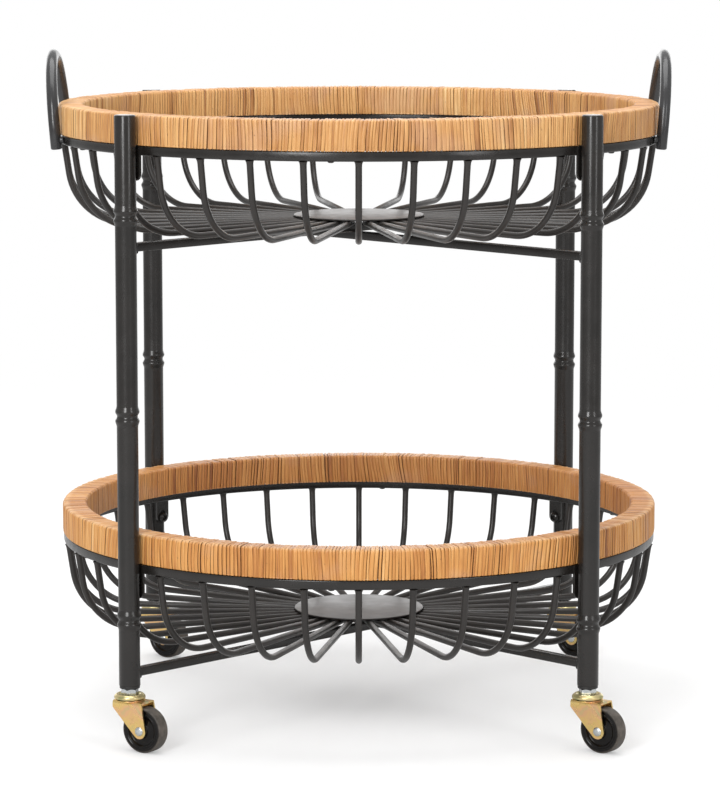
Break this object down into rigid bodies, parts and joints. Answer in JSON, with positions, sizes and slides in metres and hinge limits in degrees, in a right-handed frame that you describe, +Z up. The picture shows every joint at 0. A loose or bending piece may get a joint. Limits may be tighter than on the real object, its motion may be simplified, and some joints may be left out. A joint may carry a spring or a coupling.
{
  "type": "bar cart",
  "caption": "Round rolling bar cart with rattan-wrapped rims, deep wire trays, black tube legs, side handles and small swivel casters.",
  "frame": {"origin": "on the floor under the middle of the cart", "axes": "+Z up, front faces -Y, handles on the -X and +X sides"},
  "size_m": [0.7054, 0.682, 0.754],
  "materials": {
    "black_paint": "satin black powder coat",
    "rattan": "natural rattan strips, lightly varnished",
    "core_wood": "bare bent wood",
    "yellow_zinc": "yellow zinc plate",
    "white_zinc": "white zinc plate",
    "black_plastic": "moulded black",
    "wheel_black": "satin black, worn grey on the tread"
  },
  "bodies": {
    "frame": {"lower_rim_wrap": "rattan", "lower_rim_core": "core_wood", "lower_ring": "black_paint", "lower_basket_wires": "black_paint", "lower_hub_plate": "black_paint", "lower_brace_top": "black_paint", "lower_brace_bottom": "black_paint", "upper_rim_wrap": "rattan", "upper_rim_core": "core_wood", "upper_ring": "black_paint", "upper_basket_wires": "black_paint", "upper_hub_plate": "black_paint", "upper_brace_top": "black_paint", "upper_brace_bottom": "black_paint", "handle_right": "black_paint", "handle_left": "black_paint", "leg_front_right": "black_paint", "leg_insert_front_right": "black_plastic", "caster_stem_front_right": "white_zinc", "caster_nut_front_right": "white_zinc", "caster_cup_front_right": "yellow_zinc", "leg_screw_front_right_lower": "black_paint", "leg_screw_front_right_upper": "black_paint", "leg_back_right": "black_paint", "leg_insert_back_right": "black_plastic", "caster_stem_back_right": "white_zinc", "caster_nut_back_right": "white_zinc", "caster_cup_back_right": "yellow_zinc", "leg_screw_back_right_lower": "black_paint", "leg_screw_back_right_upper": "black_paint", "leg_back_left": "black_paint", "leg_insert_back_left": "black_plastic", "caster_stem_back_left": "white_zinc", "caster_nut_back_left": "white_zinc", "caster_cup_back_left": "yellow_zinc", "leg_screw_back_left_lower": "black_paint", "leg_screw_back_left_upper": "black_paint", "leg_front_left": "black_paint", "leg_insert_front_left": "black_plastic", "caster_stem_front_left": "white_zinc", "caster_nut_front_left": "white_zinc", "caster_cup_front_left": "yellow_zinc", "leg_screw_front_left_lower": "black_paint", "leg_screw_front_left_upper": "black_paint"},
    "caster_front_right": {"caster_fork_front_right": "yellow_zinc", "caster_race_front_right": "white_zinc", "caster_axle_front_right": "white_zinc"},
    "wheel_front_right": {"caster_wheel_front_right": "wheel_black"},
    "caster_back_right": {"caster_fork_back_right": "yellow_zinc", "caster_race_back_right": "white_zinc", "caster_axle_back_right": "white_zinc"},
    "wheel_back_right": {"caster_wheel_back_right": "wheel_black"},
    "caster_back_left": {"caster_fork_back_left": "yellow_zinc", "caster_race_back_left": "white_zinc", "caster_axle_back_left": "white_zinc"},
    "wheel_back_left": {"caster_wheel_back_left": "wheel_black"},
    "caster_front_left": {"caster_fork_front_left": "yellow_zinc", "caster_race_front_left": "white_zinc", "caster_axle_front_left": "white_zinc"},
    "wheel_front_left": {"caster_wheel_front_left": "wheel_black"}
  },
  "joints": [
    {"name": "swivel_front_right", "type": "hinge", "parent": "frame", "child": "caster_front_right", "pos_m": [0.2502, -0.2502, 0.0565], "axis": [0, 0, 1], "continuous": true},
    {"name": "roll_front_right", "type": "hinge", "parent": "caster_front_right", "child": "wheel_front_right", "pos_m": [0.26678, -0.26225, 0.025], "axis": [0.5878, 0.809, 0], "continuous": true},
    {"name": "swivel_back_right", "type": "hinge", "parent": "frame", "child": "caster_back_right", "pos_m": [0.2502, 0.2502, 0.0565], "axis": [0, 0, 1], "continuous": true},
    {"name": "roll_back_right", "type": "hinge", "parent": "caster_back_right", "child": "wheel_back_right", "pos_m": [0.26699, 0.23844, 0.025], "axis": [0.5736, 0.8192, 0], "continuous": true},
    {"name": "swivel_back_left", "type": "hinge", "parent": "frame", "child": "caster_back_left", "pos_m": [-0.2502, 0.2502, 0.0565], "axis": [0, 0, 1], "continuous": true},
    {"name": "roll_back_left", "type": "hinge", "parent": "caster_back_left", "child": "wheel_back_left", "pos_m": [-0.23341, 0.23844, 0.025], "axis": [0.5736, 0.8192, 0], "continuous": true},
    {"name": "swivel_front_left", "type": "hinge", "parent": "frame", "child": "caster_front_left", "pos_m": [-0.2502, -0.2502, 0.0565], "axis": [0, 0, 1], "continuous": true},
    {"name": "roll_front_left", "type": "hinge", "parent": "caster_front_left", "child": "wheel_front_left", "pos_m": [-0.23281, -0.26106, 0.025], "axis": [0.5299, 0.848, 0], "continuous": true}
  ]
}
